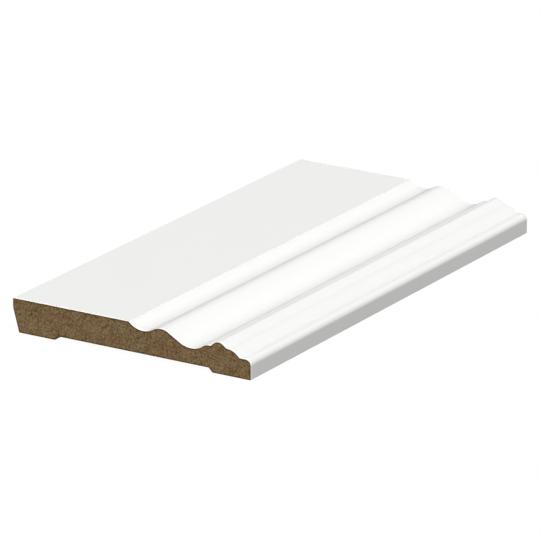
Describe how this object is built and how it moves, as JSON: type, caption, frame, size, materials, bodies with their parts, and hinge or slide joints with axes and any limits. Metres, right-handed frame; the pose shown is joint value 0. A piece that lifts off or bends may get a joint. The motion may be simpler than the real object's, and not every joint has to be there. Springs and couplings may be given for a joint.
{
  "type": "skirting board",
  "caption": "Square-cut length of primed moulded skirting board: thick plain foot, ogee and bead moulding, relieved back; trims a wall where it meets the floor.",
  "frame": {"origin": "middle of the rectangle that the board covers when it lies on its back, at the surface under it", "axes": "+X up the board as it is fixed, from the floor edge to the moulded edge; +Y along its length; +Z out of its face, away from the wall"},
  "size_m": [0.143, 0.28, 0.018],
  "materials": {
    "white_primer": "satin"
  },
  "bodies": {
    "root": {"skirting_board": "white_primer"}
  },
  "joints": []
}
